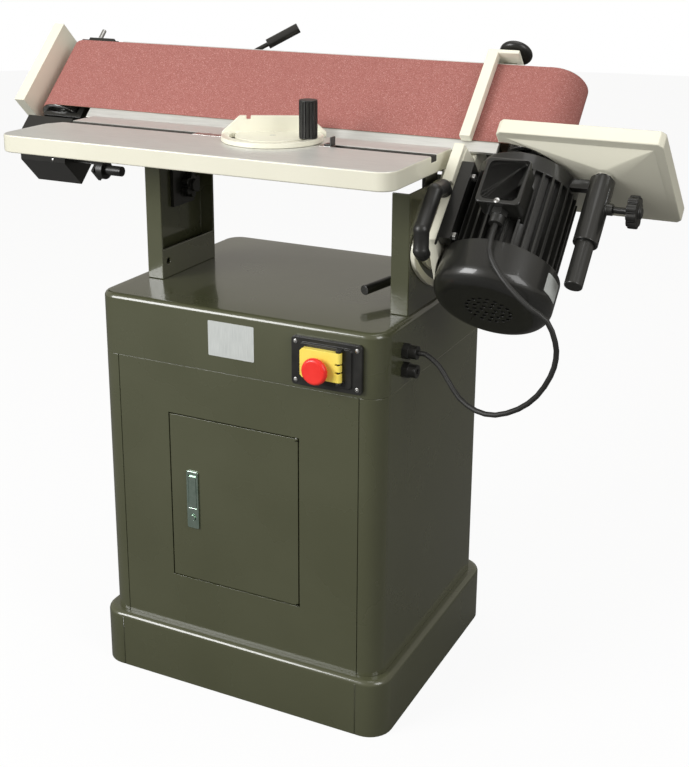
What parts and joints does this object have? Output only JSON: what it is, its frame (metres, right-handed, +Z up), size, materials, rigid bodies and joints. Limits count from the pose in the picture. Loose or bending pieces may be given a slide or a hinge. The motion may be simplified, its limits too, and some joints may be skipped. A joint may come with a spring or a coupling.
{
  "type": "edge sander",
  "caption": "Floor-standing edge sander: sheet steel cabinet, slotted table with mitre gauge, and a tilting belt head with a motor, contour table and belt tension lever.",
  "frame": {"origin": "centre of the anchor hole pattern, on the floor plane under the plinth", "axes": "+X along the belt towards the motor end, +Y to the rear, +Z up"},
  "size_m": [1.196, 0.4891, 1.0722],
  "materials": {
    "olive_paint": "glossy dark olive enamel",
    "cream_paint": "glossy cream enamel",
    "ground_iron": "ground grey top with cream enamelled sides",
    "black_steel": "semi-gloss black enamel",
    "black_plastic": "moulded black plastic",
    "cable_rubber": "matte black sheath",
    "bright_steel": "turned bright steel",
    "latch_chrome": "polished plating",
    "abrasive_cloth": "red-brown aluminium oxide grit on cloth",
    "yellow_plastic": "yellow moulding",
    "red_plastic": "red moulding",
    "green_plastic": "green moulding"
  },
  "bodies": {
    "stand": {"plinth": "olive_paint", "cabinet_shell": "olive_paint", "front_panel": "olive_paint", "cabinet_cap": "olive_paint", "left_column": "olive_paint", "right_column": "olive_paint", "column_bolts": "bright_steel", "switch_housing": "black_plastic", "cable_glands": "black_plastic", "motor_cable": "cable_rubber"},
    "door": {"door_panel": "olive_paint", "door_pins": "bright_steel", "latch_plate": "latch_chrome"},
    "latch_pull": {"latch_pull": "latch_chrome"},
    "latch_button": {"latch_button": "latch_chrome"},
    "flap": {"switch_flap": "yellow_plastic"},
    "mushroom": {"stop_mushroom": "red_plastic"},
    "start_key": {"start_key": "green_plastic"},
    "off_key": {"off_key": "red_plastic"},
    "table": {"main_table": "ground_iron", "table_brackets": "black_steel", "bracket_bolts": "bright_steel"},
    "left_knob": {"left_table_knob": "black_plastic"},
    "right_knob": {"right_table_knob": "black_plastic"},
    "gauge_slide": {"gauge_bar": "bright_steel", "gauge_pointer": "black_plastic"},
    "gauge_head": {"gauge_head": "cream_paint"},
    "gauge_knob": {"gauge_knob": "black_plastic"},
    "head": {"head_frame": "olive_paint", "platen": "bright_steel", "sanding_belt": "abrasive_cloth", "left_trunnion": "cream_paint", "right_trunnion": "cream_paint", "tilt_pins": "bright_steel", "trunnion_bolts": "bright_steel", "tilt_handle": "black_plastic", "motor_housing": "black_steel", "motor_end_bell": "black_steel", "fan_cover": "black_steel", "terminal_box": "black_steel", "terminal_lid": "black_steel", "motor_gland": "black_plastic", "motor_bolts": "bright_steel", "end_guard": "cream_paint", "rear_cover": "cream_paint", "dust_hood": "black_steel", "work_stop": "cream_paint", "post_clamp": "black_steel", "tension_spring": "bright_steel"},
    "tilt_lock": {"tilt_lock_lever": "black_steel"},
    "drum": {"drive_drum": "bright_steel", "motor_fan": "black_plastic"},
    "carriage": {"idler_carriage": "black_steel", "idler_axle": "bright_steel"},
    "idler": {"idler_roller": "bright_steel"},
    "tension_lever": {"tension_lever": "black_steel"},
    "tracking_knob": {"tracking_knob": "black_plastic"},
    "stop_knob": {"stop_knob": "black_plastic"},
    "contour_table": {"contour_table": "cream_paint"},
    "contour_knob": {"contour_knob": "black_plastic"}
  },
  "joints": [
    {"name": "head_tilt", "type": "hinge", "parent": "stand", "child": "head", "pos_m": [0, 0.05, 0.893], "axis": [1, 0, 0], "range_deg": [0, 45], "deforming": ["motor_cable"]},
    {"name": "tilt_lock_turn", "type": "hinge", "parent": "stand", "child": "tilt_lock", "pos_m": [0.248, 0.04006, 0.70326], "axis": [-1, 0, 0], "range_deg": [0, 50]},
    {"name": "table_lift", "type": "slide", "parent": "stand", "child": "table", "axis": [0, 0, 1], "range_m": [0, 0.015]},
    {"name": "left_knob_turn", "type": "hinge", "parent": "stand", "child": "left_knob", "pos_m": [-0.227, 0.004, 0.812], "axis": [1, 0, 0], "continuous": true},
    {"name": "right_knob_turn", "type": "hinge", "parent": "stand", "child": "right_knob", "pos_m": [0.248, 0.004, 0.812], "axis": [1, 0, 0], "continuous": true},
    {"name": "gauge_slide", "type": "slide", "parent": "table", "child": "gauge_slide", "axis": [1, 0, 0], "range_m": [-0.27, 0.15]},
    {"name": "gauge_turn", "type": "hinge", "parent": "gauge_slide", "child": "gauge_head", "pos_m": [-0.011, -0.062, 0.915], "axis": [0, 0, 1], "range_deg": [-38, 1]},
    {"name": "gauge_knob_turn", "type": "hinge", "parent": "gauge_slide", "child": "gauge_knob", "pos_m": [0.053, -0.062, 0.915], "axis": [0, 0, 1], "continuous": true},
    {"name": "door_swing", "type": "hinge", "parent": "stand", "child": "door", "pos_m": [0.1095, -0.21, 0.196], "axis": [0, 0, 1], "range_deg": [0, 105]},
    {"name": "latch_pull_turn", "type": "hinge", "parent": "door", "child": "latch_pull", "pos_m": [-0.0805, -0.216, 0.381], "axis": [-1, 0, 0], "range_deg": [0, 22]},
    {"name": "latch_button_push", "type": "slide", "parent": "door", "child": "latch_button", "axis": [0, 1, 0], "range_m": [0, 0.0015], "stiffness_N_per_m": 400},
    {"name": "flap_swing", "type": "hinge", "parent": "stand", "child": "flap", "pos_m": [0.191, -0.2293, 0.619], "axis": [0, 0, 1], "range_deg": [0, 110]},
    {"name": "mushroom_push", "type": "slide", "parent": "flap", "child": "mushroom", "axis": [0, 1, 0], "range_m": [0, 0.003], "stiffness_N_per_m": 500},
    {"name": "start_key_push", "type": "slide", "parent": "stand", "child": "start_key", "axis": [0, 1, 0], "range_m": [0, 0.003], "stiffness_N_per_m": 400},
    {"name": "off_key_push", "type": "slide", "parent": "stand", "child": "off_key", "axis": [0, 1, 0], "range_m": [0, 0.003], "stiffness_N_per_m": 400},
    {"name": "drum_spin", "type": "hinge", "parent": "head", "child": "drum", "pos_m": [0.382, 0.11682, 0.94497], "axis": [0, 0.7071, 0.7071], "continuous": true},
    {"name": "carriage_slide", "type": "slide", "parent": "head", "child": "carriage", "axis": [1, 0, 0], "range_m": [0, 0.008], "deforming": ["tension_spring"]},
    {"name": "idler_spin", "type": "hinge", "parent": "carriage", "child": "idler", "pos_m": [-0.52, 0.11258, 0.94921], "axis": [0, 0.7071, 0.7071], "continuous": true},
    {"name": "tension_lever_turn", "type": "hinge", "parent": "head", "child": "tension_lever", "pos_m": [-0.215, 0.16773, 1.00013], "axis": [0, -0.7071, -0.7071], "range_deg": [0, 90]},
    {"name": "tracking_knob_turn", "type": "hinge", "parent": "head", "child": "tracking_knob", "pos_m": [-0.418, 0.02702, 0.81557], "axis": [1, 0, 0], "continuous": true},
    {"name": "stop_knob_turn", "type": "hinge", "parent": "head", "child": "stop_knob", "pos_m": [0.307, 0.17693, 1.0475], "axis": [0, 0.7071, 0.7071], "continuous": true},
    {"name": "contour_lift", "type": "slide", "parent": "head", "child": "contour_table", "axis": [0, 0.7071, 0.7071], "range_m": [0, 0.06]},
    {"name": "contour_knob_turn", "type": "hinge", "parent": "head", "child": "contour_knob", "pos_m": [0.503, -0.01753, 0.85022], "axis": [1, 0, 0], "continuous": true}
  ],
  "couplings": [
    {"joint": "idler_spin", "follows": "drum_spin", "ratio": 1.1449},
    {"joint": "carriage_slide", "follows": "tension_lever_turn", "m_per_rad": 0.00509}
  ]
}
